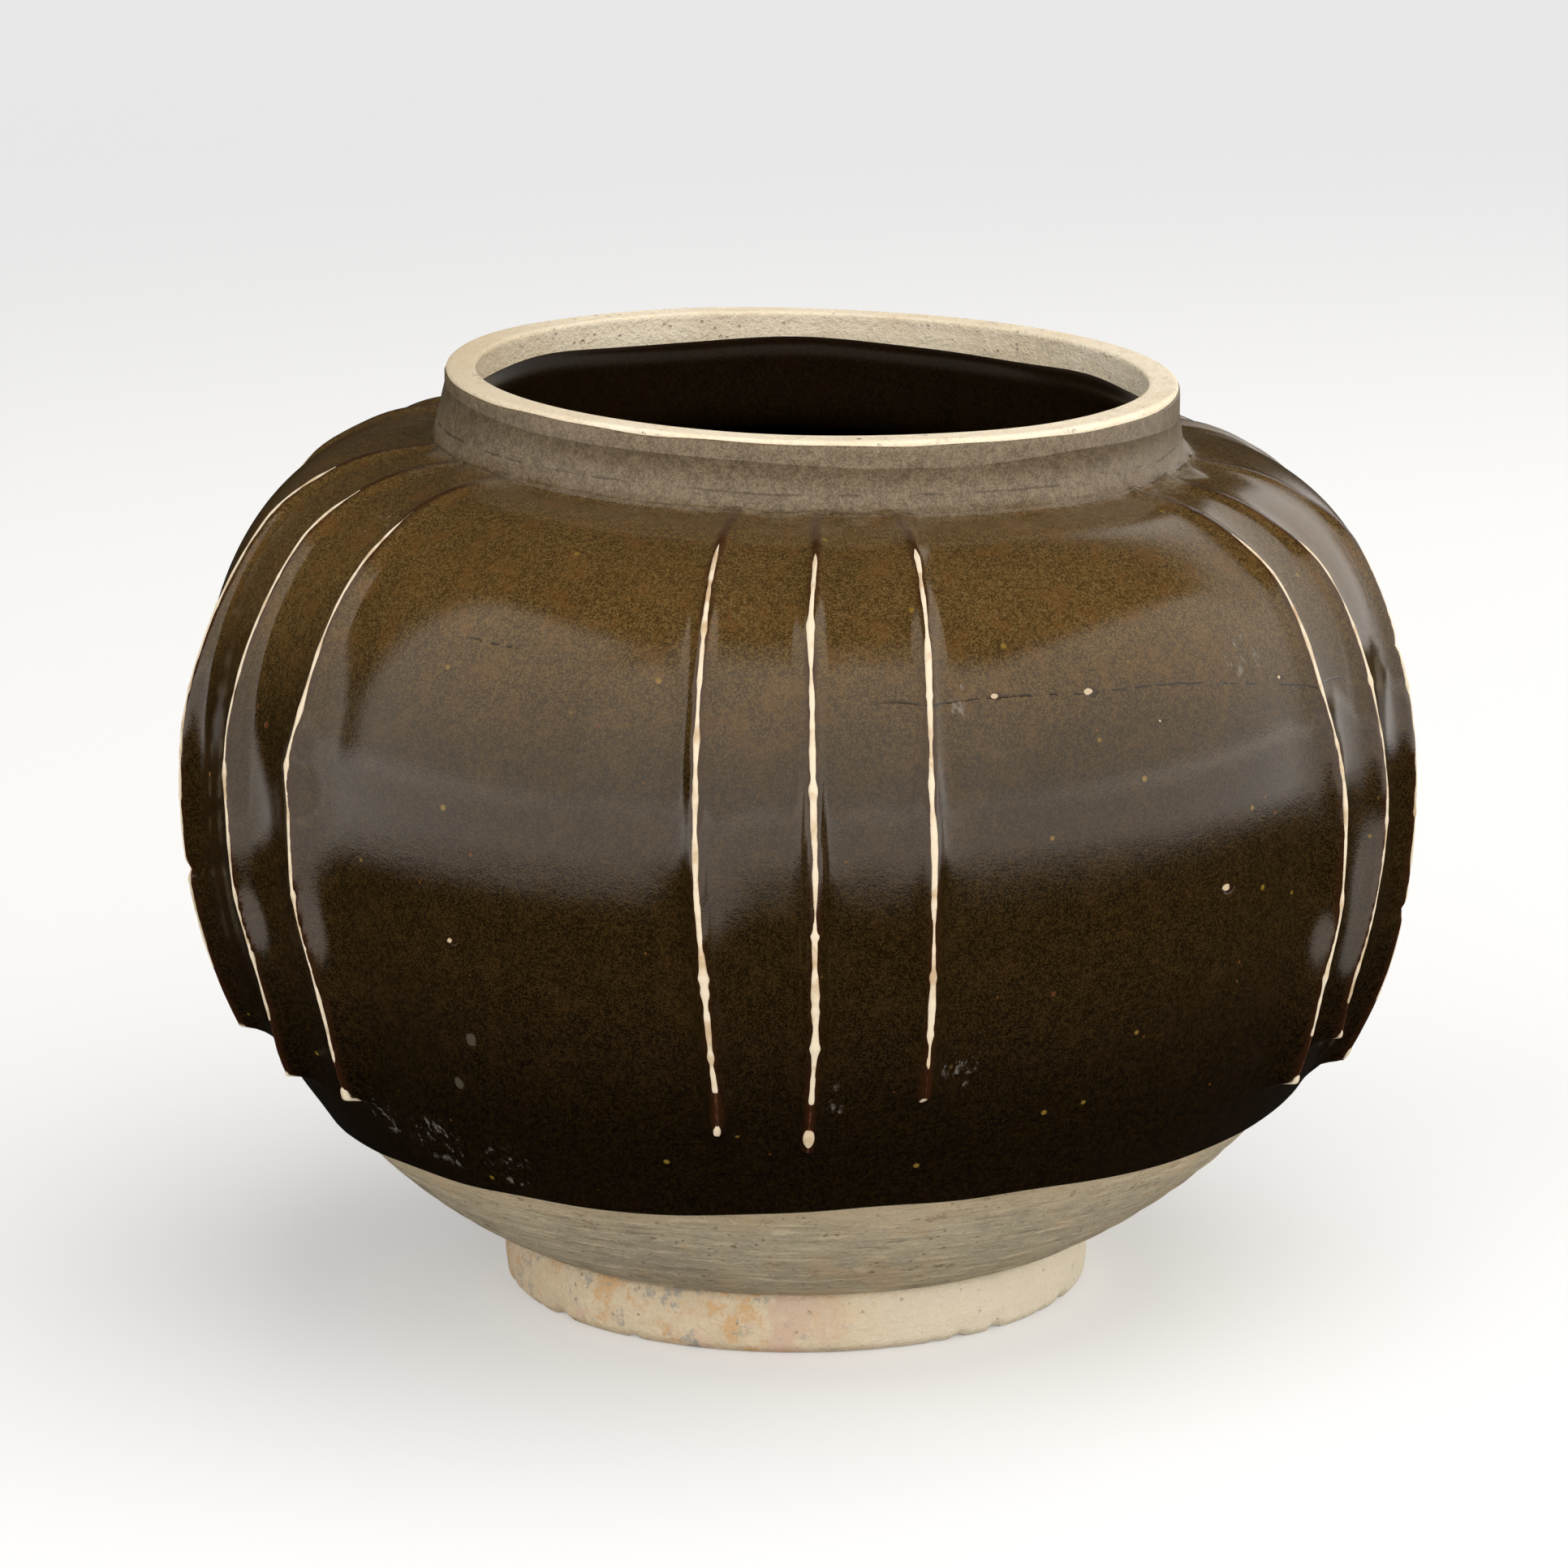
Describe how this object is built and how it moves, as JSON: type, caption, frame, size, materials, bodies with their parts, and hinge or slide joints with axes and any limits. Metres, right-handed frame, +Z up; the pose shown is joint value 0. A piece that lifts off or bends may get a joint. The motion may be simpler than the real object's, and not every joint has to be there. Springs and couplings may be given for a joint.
{
  "type": "ribbed jar",
  "caption": "Globular stoneware storage jar with a short upright neck, a turned foot, a dark glaze and vertical raised slip ribs.",
  "frame": {"origin": "centre of the foot ring's flat underside", "axes": "+Z up out of the mouth; -Y is the front, where the middle group of three ribs faces the viewer; +X is the viewer's right"},
  "size_m": [0.1577, 0.1602, 0.1209],
  "materials": {
    "clay": "bare fired stoneware, dry and slightly rough, cream to grey-buff",
    "slip": "raised slip lines, cream where the glaze has run off the crest and brown at their edges",
    "dark_glaze": "glossy dark brown to black iron glaze with fine amber speckles"
  },
  "bodies": {
    "root": {"foot_ring": "clay", "lower_body": "clay", "shoulder": "clay", "neck_collar": "clay", "inner_glaze": "dark_glaze", "outer_glaze": "dark_glaze", "rib_01": "slip", "rib_02": "slip", "rib_03": "slip", "rib_04": "slip", "rib_05": "slip", "rib_06": "slip", "rib_07": "slip", "rib_08": "slip", "rib_09": "slip", "rib_10": "slip", "rib_11": "slip", "rib_12": "slip", "rib_13": "slip", "rib_14": "slip", "rib_15": "slip", "rib_16": "slip", "rib_17": "slip", "rib_18": "slip"}
  },
  "joints": []
}
